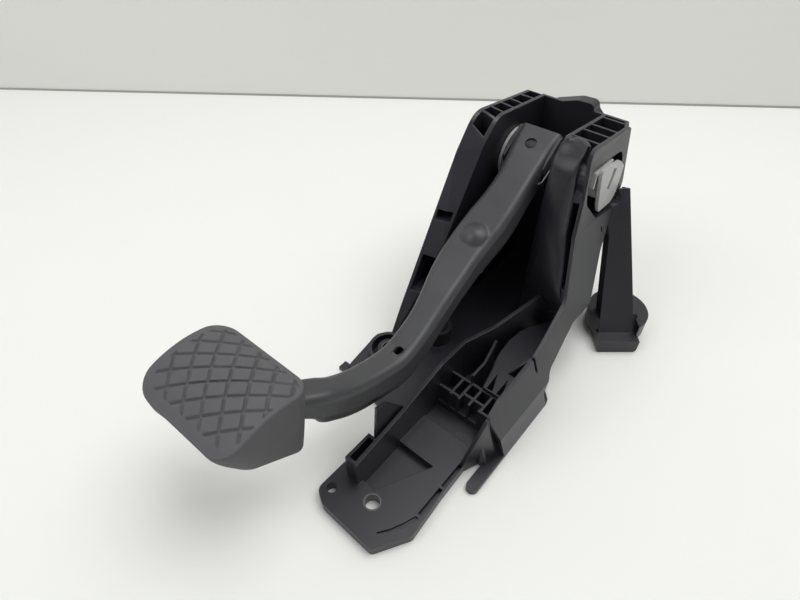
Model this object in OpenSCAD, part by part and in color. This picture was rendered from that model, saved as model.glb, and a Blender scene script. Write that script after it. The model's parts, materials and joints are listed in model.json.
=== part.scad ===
// Brake pedal with its bearing bracket, in millimetres.
// X runs along the pivot axis, Y from the pad towards the back wall, Z up from the mounting plane.
// The origin is the stud hole in the bracket's tongue, where it meets the mounting plane.

/* [Box and pivot] */
// Clear width between the two cheeks
box_w = 45.2; // [44:0.2:50]
// Distance from the tongue's stud hole to the box's middle plane
stud_offset = 39; // [36:0.5:42]
// Distance from the tongue's stud hole back to the pivot axis
pivot_y = 225; // [220:1:235]
// Height of the pivot axis above the mounting plane
pivot_z = 119.5; // [117:0.5:125]
// Height of the cheeks' top edge above the pivot axis
top_rise = 36; // [33:0.5:40]
// Distance from the pivot axis to the outside of the back wall
back_reach = 40; // [38:0.5:46]
// Thickness of the moulded walls
wall = 2.5; // [2:0.1:3]
// Thickness of the ribs
rib = 1.8; // [1.4:0.1:2.4]
// Thickness of the left cheek
cheek_l = 14.4; // [12:0.2:18]
// Thickness of the right cheek at its top edge
cheek_r = 24; // [22:0.5:28]
// Depth of the ladder cells in the cheeks' top edges
ladder_depth = 26; // [15:1:40]

/* [Right skin and strut] */
// How far the right skin's lower edge flares out from its top edge
skin_flare = 35.5; // [32:0.5:40]
// How far the skin has flared at its bend
bend_flare = 6; // [3:0.5:9]
// Height of the skin's bend above the mounting plane
bend_z = 100; // [92:1:108]
// Height of the skin's hem, where it turns down to the base
hem_z = 28; // [22:1:34]
// How far the hem still flares below that
hem_flare = 2; // [1:0.5:4]
// Width of the slot between the skin and the column
slot_w = 4; // [3:0.25:5]
// Scale of the recess around the pin's head
recess_size = 1; // [0.9:0.02:1.04]
// Width of the strut at its lower end
strut_w = 27; // [24:1:32]
// Radius of the right foot's flange
foot_r = 22; // [18:0.5:24]
// Height of the right foot's boss
foot_h = 24; // [18:1:30]

/* [Tongue and tray] */
// Thickness of the tongue
tongue_t = 8; // [6:0.5:11]
// Length of the tongue ahead of the stud hole
tongue_reach = 20; // [17:0.5:24]
// Radius of the stud hole
stud_r = 4.6; // [4.2:0.1:5.2]
// Radius of the locating hole beside it
locating_r = 3.3; // [2.6:0.1:3.8]
// Height of the base plate
base_t = 4; // [3:0.25:6]
// Height of the tray's smooth floor
tray_z = 28; // [22:1:32]
// Height of the tray's grid of ribs
grid_z = 25; // [18:1:30]
// Height of the divider wall at the box
divider_z = 45; // [40:1:50]
// Radius of the push rod's opening in the base
rod_opening_r = 8; // [7:0.5:8]

/* [Pivot parts] */
// Radius of the pivot pin
pin_r = 5; // [4:0.25:6]
// Radius of the inner sleeve
sleeve_r = 7; // [6.5:0.25:8]
// Radius of the hub tube's bore
hub_bore_r = 9.5; // [9:0.25:10.5]
// Wall thickness of the hub tube
hub_wall = 2.5; // [2:0.25:3]
// Radius of the bushes' flanges
bush_flange_r = 20.5; // [17:0.5:22]
// Thickness of the bushes' flanges
bush_flange_t = 2.2; // [1.6:0.1:3]
// Radial running clearance between bush and sleeve
run_gap = 0.05; // [0.02:0.01:0.1]
// Side clearance between a bush's flange and the cheek
side_gap = 0.35; // [0.2:0.05:0.6]
// Diameter of the return spring's wire
spring_wire = 1.8; // [1.4:0.1:2]
// Turns of the return spring's coil
spring_turns = 1.5; // [1.25:0.25:1.5]
// Height of the rubber stop on its ledge
stop_h = 6; // [4:0.5:8]

/* [Pedal arm] */
// Thickness of the arm's sheet steel
sheet = 2; // [1.5:0.1:2.5]
// Scale of the arm's width along its length
arm_width = 1; // [0.9:0.02:1.02]
// Depth of the arm's hollow section
arm_depth = 27; // [24:0.5:29]
// Corner radius of the arm's section
arm_round = 5; // [3:0.25:6]
// Radius of the arm's ears around the hub
ear_r = 17.5; // [16:0.5:19]
// Radius of the dome over the push rod's ball
dome_r = 9.5; // [8:0.25:11]
// Height of the dome
dome_h = 4; // [3:0.25:5]

/* [Pad] */
// Width of the pad's face
pad_w = 74; // [66:1:78]
// Length of the pad's face
pad_l = 58; // [54:1:62]
// Height of the face's crown above the mounting plane
pad_z = 105; // [103:0.5:108]
// Radius of the face's crown
crown_r = 55; // [50:1:90]
// Distance of the pad's middle to the left of the box's middle plane
pad_offset = 29; // [27:0.5:31]
// Distance of the pad's middle ahead of the tongue's stud hole
pad_ahead = 33; // [31:0.5:35]
// Corner radius of the pad's face
pad_round = 13; // [9:0.5:16]
// Thickness of the rubber over the plate
pad_t = 5; // [4:0.25:6]
// Thickness of the pad plate
plate_t = 3; // [2:0.25:3.5]
// Distance between the grooves of the diamond pattern
groove_pitch = 10; // [8:0.25:12]
// Width of the grooves
groove_w = 1.6; // [1:0.1:2.4]
// Depth of the grooves
groove_depth = 1.4; // [0.8:0.1:2]
// Plain border around the grooves
groove_border = 5; // [3:0.5:8]

/* [Hidden] */
$fn = 64;
half = box_w / 2;
left_x = -half - cheek_l;
right_x = half + cheek_r;
back_y = pivot_y + back_reach;
top_z = pivot_z + top_rise;
above = top_z + 25;
below = -1;
film = 0.01;

// Turns an outline in Y and Z into a solid from x0 to x1
module along_x(x0, x1) {
    translate([x0, 0, 0]) rotate([90, 0, 90]) linear_extrude(x1 - x0) children();
}
// Turns an outline in X and Z into a solid from y0 to y1
module along_y(y0, y1) {
    translate([0, y1, 0]) rotate([90, 0, 0]) linear_extrude(y1 - y0) children();
}
// Turns an outline in X and Y into a solid from z0 to z1
module along_z(z0, z1) {
    translate([0, 0, z0]) linear_extrude(z1 - z0) children();
}
// A round bar on the pivot axis
module on_pivot(x0, x1, r) {
    translate([x0, pivot_y, pivot_z]) rotate([0, 90, 0]) cylinder(h = x1 - x0, r = r);
}
module block(low, high) {
    translate(low) cube(high - low);
}
// The box's middle plane is X = 0 in every module below
module in_place() {
    translate([-stud_offset, 0, 0]) children();
}

function unit(v) = v / norm(v);
function reversed(p) = [for (i = [len(p) - 1 : -1 : 0]) p[i]];
// Points of the arc that rounds corner b between a and c
function corner_arc(a, b, c, r, n = 5) =
    let (u = unit(a - b), v = unit(c - b), half_angle = acos(u * v) / 2)
    let (centre = b + unit(u + v) * r / sin(half_angle), t = r / tan(half_angle))
    let (p = b + u * t - centre, q = b + v * t - centre)
    let (from = atan2(p.y, p.x), turn = (atan2(q.y, q.x) - from + 540) % 360 - 180)
    [for (i = [0 : n]) centre + r * [cos(from + turn * i / n), sin(from + turn * i / n)]];
// An outline whose points are [x, y, corner radius]
function rounded(p) = [
    for (i = [0 : len(p) - 1])
        let (a = p[(i + len(p) - 1) % len(p)], b = p[i], c = p[(i + 1) % len(p)])
        each b[2] == 0 ? [[b.x, b.y]] : corner_arc([a.x, a.y], [b.x, b.y], [c.x, c.y], b[2])
];
// Place in Y and height measured from the pivot axis
function py(d) = pivot_y + d;
function pz(d) = pivot_z + d;
// Solid through level sections that all have the same number of points
module stacked(rings) {
    n = len(rings[0]);
    m = len(rings);
    sides = [for (i = [0 : m - 2], j = [0 : n - 1])
        let (a = i * n + j, b = i * n + (j + 1) % n, c = a + n, d = b + n) each [[a, d, b], [a, c, d]]];
    ends = [[for (j = [0 : n - 1]) j], [for (j = [n - 1 : -1 : 0]) (m - 1) * n + j]];
    polyhedron(points = [for (ring = rings) each ring], faces = concat(sides, ends), convexity = 6);
}

// Outline of the left cheek at its inner wall
left_inner = rounded([
    [back_y, pz(top_rise - 8), 3],
    [py(-24), top_z, 14],
    [py(-40), pz(22), 22],
    [py(-82), pz(-45), 40],
    [py(-112), 0, 0],
    [py(36), 0, 0]
]);
// Outline of the left cheek at its outer skin
left_outer = rounded([
    [back_y, pz(top_rise - 8), 3],
    [py(-33), pz(top_rise + 2.7), 16],
    [py(-50), pz(17), 30],
    [py(-108), pz(-86), 20],
    [py(-125), 0, 0],
    [py(36), 0, 0]
]);
ladder_left_y = [py(24.5), py(9), py(-3), py(-15.7), py(-26)];
ladder_right_y = [py(33), py(14.5), py(2), py(-13)];

// The left cheek is hollow, with ladder ribs across its top edge
module left_cheek() {
    difference() {
        hull() {
            along_x(left_x, left_x + film) polygon(left_outer);
            along_x(-half - film, -half) polygon(left_inner);
        }
        left_ladder_cells();
        left_front_windows();
        left_core();
    }
}
module left_ladder_cells() {
    ends = concat([back_y - wall + rib / 2], ladder_left_y, [py(-38)]);
    for (i = [0 : len(ends) - 2])
        block([left_x + wall, ends[i + 1] + rib / 2, pz(top_rise - 6 - ladder_depth)],
              [-half - wall, ends[i] - rib / 2, above]);
}
module left_front_windows() {
    block([left_x + rib, py(-84), pz(-25)], [-half - rib, py(-50), pz(-18.5)]);
    block([left_x + wall, py(-112), pz(-73)], [-half - rib, py(-72), pz(-48)]);
}
// The core comes out downwards, past ribs that stand across the cheek
module left_core() {
    bays = [[py(-92), pz(-78)], [py(-62), pz(-36)], [py(-34), pz(-12)], [py(0), pz(-30)], [py(28), pz(-6)]];
    for (i = [0 : len(bays) - 2])
        block([left_x + wall, bays[i][0] + rib / 2, below],
              [-half - wall, bays[i + 1][0] - rib / 2, min(bays[i][1], bays[i + 1][1])]);
}

// Right skin in section: outer line from the top edge, past the bend and the hem, to the base
function skin_line(shift) = [
    [right_x - 0.5 + shift, top_z + 12],
    [right_x + shift, top_z - 6],
    [right_x + bend_flare + shift, bend_z],
    [right_x + skin_flare - hem_flare + shift, hem_z],
    [right_x + skin_flare + shift, base_t]
];
function skin_x(z) = lookup(z, [for (p = reversed(skin_line(0))) [p.y, p.x]]);
module skin_band(outer, inner) {
    polygon(concat(skin_line(outer), reversed(skin_line(inner))));
}
// Everything between the box and a line that follows the skin
module inside_skin(shift) {
    far_x = right_x + skin_flare + shift;
    polygon(concat(skin_line(shift), [[far_x, below], [half, below], [half, top_z + 12]]));
}
skin_outline = rounded([
    [py(29), pz(top_rise - 5.5), 2],
    [py(-28), pz(top_rise + 1.5), 4],
    [py(-31.5), pz(4), 20],
    [py(-38), pz(-20), 20],
    [py(-60), pz(-54), 8],
    [py(-90), divider_z + 11.4, 15],
    [py(-102), divider_z + 8.4, 12],
    [py(-145), divider_z + 6.8, 6],
    [py(-158), divider_z + 3.3, 3],
    [py(-145), 0, 0],
    [py(-92), 0, 0],
    [py(-99), base_t + 16, 4],
    [py(-90), base_t + 31, 6],
    [py(-55), base_t + 44, 12],
    [py(-30), base_t + 43, 8],
    [py(-7), pz(-44), 20],
    [py(16), pz(-25), 6],
    [py(31), pz(-12), 8]
]);
module right_skin() {
    difference() {
        intersection() {
            along_y(py(-160), py(40)) skin_band(0, -wall);
            along_x(half, right_x + skin_flare + 1) polygon(skin_outline);
        }
        // Small slot under the recess and notch in the edge beside the tray
        block([half, py(-2.8), pz(-33)], [right_x + skin_flare, py(-1), pz(-28.5)]);
        block([half, py(-106), divider_z - 2], [right_x + skin_flare, py(-103.6), divider_z + 20]);
    }
}

// The column's front face at each height: its place at the box, its forward bulge, its place at the skin,
// and how far inside the skin it ends
column_rows = [
    [below, py(-34), 2, py(-38), 32],
    [hem_z, py(-34), 2, py(-40), 21],
    [divider_z + 1, py(-34), 1, py(-52), wall / 2],
    [pz(-57), py(-34), 0, py(-60), wall / 2],
    [pz(-36), py(-34), 1, py(-48), wall / 2],
    [bend_z, py(-34), 3, py(-38), wall / 2],
    [pz(-4), py(-33), 4, py(-33.5), wall / 2],
    [pz(6), py(-31), 3, py(-31), wall / 2],
    [pz(15), py(-28), 0, py(-29.5), wall / 2],
    [pz(23), py(-23), -3, py(-28), wall / 2],
    [top_z - 6, py(-19.5), -6, py(-26.5), wall / 2],
    [above, py(-17), -6.5, py(-24.5), wall / 2]
];
column_back = 27;
function column_section(row, inset) =
    let (x0 = half + inset, x1 = skin_x(row[0]) - row[4] - inset)
    let (x2 = row[0] < bend_z ? min(x1, half + column_back - inset) : x1)
    concat(
        [[x2, py(28) - inset / 2, row[0]], [x2 - 7, back_y + 5, row[0]], [x0, back_y + 5, row[0]]],
        [for (t = [0 : 0.125 : 1])
            [x0 + (x1 - x0) * t, (1 - t) * row[1] + t * row[3] - 4 * t * (1 - t) * row[2] + inset, row[0]]]
    );
module column(inset) {
    intersection() {
        stacked([for (row = column_rows) column_section(row, inset)]);
        along_x(half, right_x + skin_flare) polygon([
            [py(36) - inset, inset > 0 ? 2 * below : 0],
            [back_y - inset, pz(top_rise - 8)],
            [back_y - inset, inset > 0 ? above : pz(top_rise - 8)],
            [py(-18), inset > 0 ? above : top_z - 0.5],
            [py(-64), inset > 0 ? above : top_z + 1],
            [py(-64), inset > 0 ? 2 * below : 0]
        ]);
    }
}
slot_top = pz(3);
slot_foot = pz(-50);
module right_cheek() {
    difference() {
        union() {
            difference() {
                column(0);
                column(wall);
            }
            intersection() {
                column(0);
                column_ribs();
            }
        }
        // Slot between the column and the skin
        intersection() {
            along_y(py(-64), py(-20)) skin_band(-wall, -wall - slot_w);
            block([half, py(-64), slot_foot], [right_x + skin_flare, py(-20), slot_top]);
        }
    }
    right_skin();
}
// Ladder ribs in the column's top, ribs in its core, and the walls of the slot
module column_ribs() {
    for (y = ladder_right_y)
        block([half, y - rib / 2, pz(top_rise - 8 - ladder_depth)],
              [right_x + bend_flare, y + rib / 2, above]);
    for (y = [py(-12), py(12)])
        block([half, y, below], [right_x + skin_flare, y + rib, pz(-30)]);
    intersection() {
        along_y(py(-64), py(-20) + wall) skin_band(-wall / 2, -2 * wall - slot_w);
        block([half, py(-64), slot_foot - wall], [right_x + skin_flare, py(-20) + wall, slot_top + wall]);
    }
}

// Recess in the right cheek that takes the pin's head and the lock
recess_floor = half + wall;
function recess_outline(grow) = rounded([
    for (p = [[-30, 24, 9], [22, 18, 9], [25, -25, 8], [-8, -20, 9], [-27, 0, 9]])
        [py(p[0] * (recess_size + grow / 26)), pz(p[1] * (recess_size + grow / 22)), p[2]]
]);
module recess_wall() {
    intersection() {
        along_x(half, right_x + 12) polygon(recess_outline(wall));
        along_y(py(-60), back_y) inside_skin(-wall / 2);
    }
}

// Back wall of the box, with the broad lug behind its top edge
module back_wall() {
    along_x(-half - wall, half + wall) polygon([
        [back_y, pz(top_rise - 8)],
        [back_y - wall, pz(top_rise - 7.7)],
        [py(36) - wall, 0],
        [py(36), 0]
    ]);
    difference() {
        along_y(back_y - wall, back_y + 7) polygon(rounded([
            [-half, pz(12), 4],
            [-half + 5, pz(25), 6],
            [3, pz(32.5), 12],
            [15, pz(33), 4],
            [16, pz(28), 3],
            [half, pz(22), 4],
            [half - 4, pz(6), 6],
            [-half + 6, pz(6), 6]
        ]));
        translate([0, back_y, pz(18)]) rotate([-90, 0, 0]) cylinder(h = 30, r = 4.3, center = true);
    }
    // Upright ribs outside the wall
    for (x = [-12, 0, 12])
        along_x(x - rib / 2, x + rib / 2)
            polygon([[py(34), 0], [py(42), 4], [back_y + 5, pz(8)], [back_y - 1, pz(8)]]);
}
// Ledge on the back wall that carries the rubber stop
ledge_top = pz(-8.3 - stop_h);
stop_y = py(24);
module stop_ledge() {
    block([-10, py(15), ledge_top - 3], [10, back_y - wall, ledge_top]);
    for (x = [-9, 7])
        along_x(x, x + 2)
            polygon([[py(16), ledge_top - 2], [py(36), ledge_top - 2], [py(35), ledge_top - 24]]);
}

// Base plate between and beside the cheeks, with the push rod's opening
module base_plate() {
    along_z(0, base_t) polygon(rounded([
        [left_x, py(36), 4],
        [left_x, py(-120), 0],
        [-52, py(-108), 6],
        [-46, py(-156), 5],
        [-36, py(-162), 3],
        [8, py(-172), 4],
        [half, py(-185), 2],
        [67, py(-160), 0],
        [right_x + skin_flare, py(-146), 3],
        [right_x + skin_flare, py(-90), 4],
        [half + 34, py(-62), 8],
        [half + 27, py(-38), 5],
        [half + 26, py(36), 4]
    ]));
    // Rounded lug in front of the base flange
    translate([right_x + skin_flare - 4, py(-176), 0]) cylinder(h = base_t, r = 4);
    block([right_x + skin_flare - 8, py(-176), 0], [right_x + skin_flare, py(-144), base_t]);
}

// Wall between the box and the tray; it starts as a narrow channel and ends at the column
divider_path = [[half, py(-222)], [half, py(-114)], [31, py(-88)], [38, py(-56)], [42, py(-35)]];
module divider() {
    difference() {
        along_z(0, divider_z + 8) polygon(concat(divider_path,
            [for (p = reversed(divider_path)) p + [wall, -0.5]]));
        // Its top edge falls from the column to the front end
        along_x(half - 1, right_x + 10) polygon([[py(-230), divider_z - 15], [py(-220), divider_z - 14.5],
            [py(-180), divider_z - 9], [py(-139), divider_z], [py(-114), divider_z - 1],
            [py(-88), divider_z - 1], [py(-20), divider_z + 5], [py(-20), above], [py(-230), above]]);
    }
    // Left wall of the channel; behind its step it stands higher and closer to the divider
    channel_front = py(-222);
    step_y = py(-201);
    block([half - 7, channel_front, 0], [half - 5.2, step_y, divider_z - 15]);
    block([half - 7, channel_front, 0], [half + wall, channel_front + rib, divider_z - 15]);
    block([half - 7, step_y - rib, 0], [half - 1.4, step_y, divider_z - 15]);
    block([half - 7, channel_front, 0], [half + wall, py(-165), base_t]);
    along_x(half - 3.2, half - 1.4) polygon([[step_y - 2, 0], [step_y + 2.5, divider_z + 13],
        [py(-190), divider_z + 10], [py(-165), 20], [py(-160), 0]]);
}

// Tongue with its locating hole, four-sided window and hollow underside
tongue_outline = rounded([
    [8, 10, 2],
    [7.6, -15, 6],
    [17, -tongue_reach, 8],
    [57, -tongue_reach - 1.5, 3],
    [70, 0, 4],
    [68, 30, 6],
    [67, 68, 0],
    [half, 68, 0],
    [half, 10, 0]
]);
pocket_floor = 1.6;
module tongue() {
    window = [[half + wall, 42], [53, 41.7], [35, 6.7], [half + wall, 6.7]];
    skin = tongue_t - wall;
    difference() {
        along_z(0, tongue_t) polygon(tongue_outline);
        along_z(pocket_floor, tongue_t + 1) polygon(window);
        // Channel along the right edge, crossed by short ribs
        for (y = [[12, 33], [35, 54]])
            block([64.2, y[0], 3], [66.8, y[1], tongue_t + 1]);
        along_z(skin + 0.7, tongue_t + 1) polygon([[64.2, 10], [66.6, 10], [63.9, 2.4], [59, -6.5],
            [53.4, -12.6], [53, -12], [57.6, -5.6], [61.7, 3]]);
        // Hollow underside
        block([20, -15, below], [30, 3, skin]);
        block([55, -15, below], [60, 40, skin]);
        block([27, 45, below], [61, 65, skin]);
    }
}

// Floor, grid and side walls of the tray
module tray() {
    // The smooth floor ends at a curved edge, with a deep channel between it and the divider
    floor_edge = [[49.2, py(-126)], [45.4, py(-108)], [42.8, py(-100)], [41.2, py(-92)], [40.6, py(-80)],
        [41.8, py(-68)], [44.2, py(-62)], [47.4, py(-56)], [52.6, py(-47)], [56, py(-38)]];
    floor_wall = concat(floor_edge, [for (p = reversed(floor_edge)) p + [rib, 0]]);
    floor_outline = concat(floor_edge, [[right_x + 12, py(-38)], [right_x + 16, py(-56)],
        [right_x + 23, py(-76)], [right_x + 26, py(-87)], [right_x + 34, py(-92)], [right_x + 34, py(-126)]]);
    grid_x = [33.4, 40, 48, 56.5, 63, 70];
    intersection() {
        union() {
            difference() {
                along_z(tray_z - wall, tray_z) polygon(floor_outline);
                // Two tapered pockets behind the grid and a three-cornered opening
                for (p = [[51.3, 4.4, 50.4], [58.6, 4.2, 58.4]])
                    along_z(0, above) polygon([[p[0], py(-125)], [p[0] + p[1], py(-125)], [p[2], py(-110)]]);
                along_z(0, above) polygon([[55.5, py(-106)], [72, py(-106)], [66, py(-84)], [61, py(-82)]]);
            }
            along_z(base_t, tray_z) polygon(floor_wall);
            // Curved rib in the channel
            along_z(base_t, tray_z + 5) polygon([[39.4, py(-126)], [41.2, py(-126)], [41.2, py(-112)],
                [36.4, py(-90)], [34.6, py(-90)], [39.4, py(-112)]]);
            // Grid of ribs ahead of the floor
            block([half, py(-127), base_t], [right_x + skin_flare, py(-127) + rib, grid_z]);
            block([half, py(-141), base_t], [40.5, py(-141) + rib, grid_z]);
            block([40, py(-137), base_t], [57.5, py(-137) + rib, grid_z]);
            block([56, py(-142), base_t], [right_x + skin_flare, py(-142) + rib, grid_z]);
            for (x = grid_x)
                block([x, py(-142), base_t], [x + rib, py(-126), grid_z]);
            block([half, py(-142), base_t - film], [right_x + skin_flare, py(-126), base_t + 6]);
        }
        along_y(py(-160), py(-30)) inside_skin(-wall / 2);
    }
    // Side wall that rises from the tongue to the skin
    hull() {
        block([64.5, 54, 0], [67, 56, tongue_t]);
        block([64.5, py(-155), 0], [67, py(-153), tongue_t]);
        block([right_x + 23.3, py(-158), divider_z - 3], [right_x + 25.5, py(-156), divider_z + 2]);
        block([right_x + 28, py(-150), base_t], [right_x + 30, py(-148), base_t + 2]);
    }
    // Gusset rib down to the base flange
    hull() {
        block([66, py(-160), 0], [77, py(-160) + rib, base_t]);
        block([67, py(-160), 0], [69, py(-160) + rib, 30]);
    }
}

// Left foot with its open ring
module left_foot() {
    translate([left_foot_at.x, left_foot_at.y, 0]) difference() {
        cylinder(h = left_foot_h, r = 15);
        translate([0, 0, base_t]) difference() {
            cylinder(h = 20, r = 15 - wall);
            cylinder(h = 20, r = stud_r + sleeve_wall + wall);
        }
    }
    block([-51, py(-162), 0], [-45, py(-155), 3]);
}

// Strut from the skin down to the right foot: a channel whose flanges turn away from the viewer
strut_tilt = 62;
strut_turn = 40;
strut_at = [93.4, py(-8.4), 10];
strut_l = 110;
strut_d = 11;
module strut() {
    translate(strut_at) rotate([strut_tilt, 0, strut_turn]) {
        face = [[-strut_w / 2, -4], [strut_w / 2, -4], [-2.3, strut_l], [-strut_w / 2 - 8, strut_l],
            [-strut_w / 2, strut_l - 34]];
        translate([0, 0, -wall]) linear_extrude(wall) polygon(face);
        translate([-strut_w / 2, -2, -strut_d]) cube([rib, strut_l, strut_d]);
        translate([0, 0, -strut_d]) linear_extrude(strut_d)
            polygon([[strut_w / 2, 0], [-2.3, strut_l], [-2.3 - rib, strut_l], [strut_w / 2 - rib, 0]]);
        for (y = [30, 62])
            translate([-strut_w / 2, y, -strut_d]) cube([strut_w * (0.95 - y / 150), rib, strut_d]);
    }
}
foot_tower_r = 15;
// Tower and round flange of the foot; the strut's face passes in front of them
module right_foot() {
    toe = strut_w / 2 + 1.5;
    toe_h = strut_at.z + 1.6;
    difference() {
        translate([right_foot_at.x, right_foot_at.y, 0]) {
            cylinder(h = foot_h, r = foot_tower_r);
            translate([0, 0, foot_h - 17]) cylinder(h = 14, r = foot_r);
            cylinder(h = 7, r = foot_tower_r + 3);
        }
        translate(strut_at) rotate([strut_tilt, 0, strut_turn])
            block([-strut_w / 2 - 0.3, -20, -wall / 2], [strut_w / 2 + 0.3, strut_l, foot_r]);
    }
    // Toe under the strut's fold
    translate([strut_at.x, strut_at.y, 0]) rotate([0, 0, strut_turn]) along_y(-8.5, 11.5)
        polygon(rounded([[-toe, 0, 3], [toe, 0, 3], [toe, toe_h, 0], [-toe, toe_h, 0]]));
}

sleeve_wall = 0.9;
left_foot_at = [-29, py(-131)];
left_foot_h = 14;
right_foot_at = [85, py(7)];
spring_hole_r = spring_wire / 2 + 0.1;
// Collar round the push rod's opening, under the arm
rod_way = [-13, py(-93)];
collar_h = 18;
module bearing_bracket() {
    color([0.10, 0.10, 0.11]) in_place() difference() {
        union() {
            left_cheek();
            right_cheek();
            recess_wall();
            back_wall();
            stop_ledge();
            base_plate();
            divider();
            tongue();
            tray();
            left_foot();
            strut();
            right_foot();
            on_pivot(left_x, -half, 12);
            along_z(0, collar_h) translate(rod_way) circle(r = rod_opening_r + wall);
        }
        // Pin bores, recess, stud bores and the spring's seat
        on_pivot(left_x + 3, half + 10, pin_r);
        along_x(recess_floor, right_x + 30) polygon(recess_outline(0));
        stud_bore([stud_offset, 0], tongue_t + 1);
        stud_bore(left_foot_at, left_foot_h + 1);
        stud_bore(right_foot_at, foot_h);
        translate([14, -9, below]) cylinder(h = tongue_t + 2, r = locating_r);
        along_z(below, collar_h + 1) translate(rod_way) circle(r = rod_opening_r);
        translate([0, stop_y, ledge_top - 4]) cylinder(h = 5, r = stop_stem_r);
        translate([half - 1, spring_foot.y, spring_foot.z]) rotate([0, 90, 0])
            cylinder(h = wall + 2, r = spring_hole_r);
    }
}
module stud_bore(at, top) {
    along_z(below, top) translate(at) circle(r = stud_r + sleeve_wall);
}

module stud_sleeve(at, h) {
    color([0.62, 0.63, 0.65]) in_place() translate([at.x, at.y, 0]) difference() {
        cylinder(h = h, r = stud_r + sleeve_wall);
        translate([0, 0, below]) cylinder(h = h + 2, r = stud_r);
    }
}
module tongue_sleeve() {
    stud_sleeve([stud_offset, 0], tongue_t);
}
module left_foot_sleeve() {
    stud_sleeve(left_foot_at, left_foot_h);
}
module right_foot_sleeve() {
    stud_sleeve(right_foot_at, foot_h);
}

// Pin with its head in the recess, on a washer
washer_t = 1.5;
head_x = recess_floor + washer_t;
head_t = 6;
head_r = 9;
module pivot_pin() {
    color([0.62, 0.63, 0.65]) in_place() {
        on_pivot(left_x + 3, head_x + head_t, pin_r);
        on_pivot(head_x, head_x + head_t, head_r);
    }
}
module pin_washer() {
    color([0.62, 0.63, 0.65]) in_place() difference() {
        on_pivot(recess_floor, head_x, head_r + 3);
        on_pivot(half, head_x + 1, pin_r);
    }
}
// Lock plate in the recess's mouth, on a hub that grips the pin's head
lock_x = right_x + 2.4;
lock_t = 2.4;
module bearing_lock() {
    color([0.82, 0.82, 0.80]) in_place() difference() {
        union() {
            along_x(lock_x, lock_x + lock_t) polygon(rounded([[py(-18), pz(21), 3], [py(12), pz(15), 3],
                [py(22), pz(7), 3], [py(22.5), pz(-14), 3], [py(17), pz(-20), 3], [py(-3), pz(-18), 3],
                [py(-8), pz(-9), 3]]));
            on_pivot(head_x + head_t, lock_x + film, head_r);
            // Left leaf, set back from the plate
            block([lock_x - 8, py(-20), pz(8)], [lock_x + film, py(-20) + rib, pz(19)]);
            block([lock_x - 8, py(-19), pz(17)], [lock_x + film, py(4), pz(17) + rib]);
        }
        on_pivot(head_x, lock_x - 2, head_r - wall);
        // Slot through the plate
        along_x(lock_x - 1, lock_x + lock_t + 1)
            polygon([[py(3), pz(13.5)], [py(8.5), pz(11)], [py(5.5), pz(-4)], [py(0), pz(-1)]]);
    }
}
// Rubber stop on the ledge, with a stem through it
stop_stem_r = 3;
module stop_buffer() {
    color([0.05, 0.05, 0.05]) in_place() translate([0, stop_y, ledge_top]) {
        cylinder(h = stop_h, r = 7);
        translate([0, 0, -4]) cylinder(h = 4, r = stop_stem_r);
        translate([0, 0, -5.2]) cylinder(h = 2.2, r1 = stop_stem_r - 1, r2 = stop_stem_r + 0.6);
    }
}

hub_half = half - side_gap - bush_flange_t;
hub_r = hub_bore_r + hub_wall;
module hub_tube() {
    color([0.10, 0.10, 0.11]) in_place() difference() {
        on_pivot(-hub_half, hub_half, hub_r);
        on_pivot(-half, half, hub_bore_r);
    }
}
module bush(side) {
    color([0.82, 0.82, 0.80]) in_place() translate([0, pivot_y, pivot_z]) rotate([0, 90 * side, 0])
        difference() {
            union() {
                translate([0, 0, hub_half]) cylinder(h = bush_flange_t, r = bush_flange_r);
                translate([0, 0, hub_half - 12]) cylinder(h = 12 + film, r = hub_bore_r);
            }
            translate([0, 0, hub_half - 13]) cylinder(h = 20, r = sleeve_r + run_gap);
        }
}
module bush_left() {
    bush(-1);
}
module bush_right() {
    bush(1);
}
module inner_sleeve() {
    color([0.62, 0.63, 0.65]) in_place() difference() {
        on_pivot(-half, half, sleeve_r);
        on_pivot(-half - 1, half + 1, pin_r);
    }
}

// The ears stand between the bushes, with room for the spring's coils on the right
ear_span = 2 * hub_half - 8.5;
ear_mid = -1.2;
// Stations of the arm from the pad to the hub: middle of the front face, width and depth
arm_rows = [
    [-24, -38, pad_z - 9.5, 18, 9.5],
    [-14, -22, pad_z - 10, 18, 12],
    [-4, -8, pad_z - 14, 18, 19],
    [3, 5, 87.5, 18, 23],
    [5, 15, 82, 18, 25],
    [6.5, 28, 77.2, 18, arm_depth],
    [8, 43, 73.8, 18.5, arm_depth],
    [9.2, 58, 72.7, 19.5, arm_depth],
    [8.8, 72, 76, 19.5, arm_depth],
    [7.3, 88, 81.2, 19.5, arm_depth],
    [5.2, 102, 86.8, 22, arm_depth],
    [2.4, 118, 92.6, 25.5, arm_depth],
    [0.8, 133, 98.5, 27, arm_depth],
    [0.4, 145, 103.2, 28.5, arm_depth],
    [1, 158, 110, 29, arm_depth],
    [1.8, 172, 117.8, 27, arm_depth],
    [1.8, 186, 125.8, 26, arm_depth],
    [0.6, py(-25), pz(14.1), 27.5, arm_depth + 4],
    [-0.8, py(-13), pz(20.8), ear_span - 2, arm_depth + 10],
    [ear_mid, py(-3), pz(26.4), ear_span, arm_depth + 14]
];
arm = [for (r = arm_rows) [[r[0], r[1], r[2]], r[3] * arm_width, r[4]]];
last = len(arm) - 1;
// Frame of a station: along the arm, across it and out of its front face
function arm_along(i) = unit(arm[min(i + 1, last)][0] - arm[max(i - 1, 0)][0]);
function arm_across(i) = unit(cross(arm_along(i), [0, 0, 1]));
function arm_out(i) = cross(arm_across(i), arm_along(i));
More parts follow.
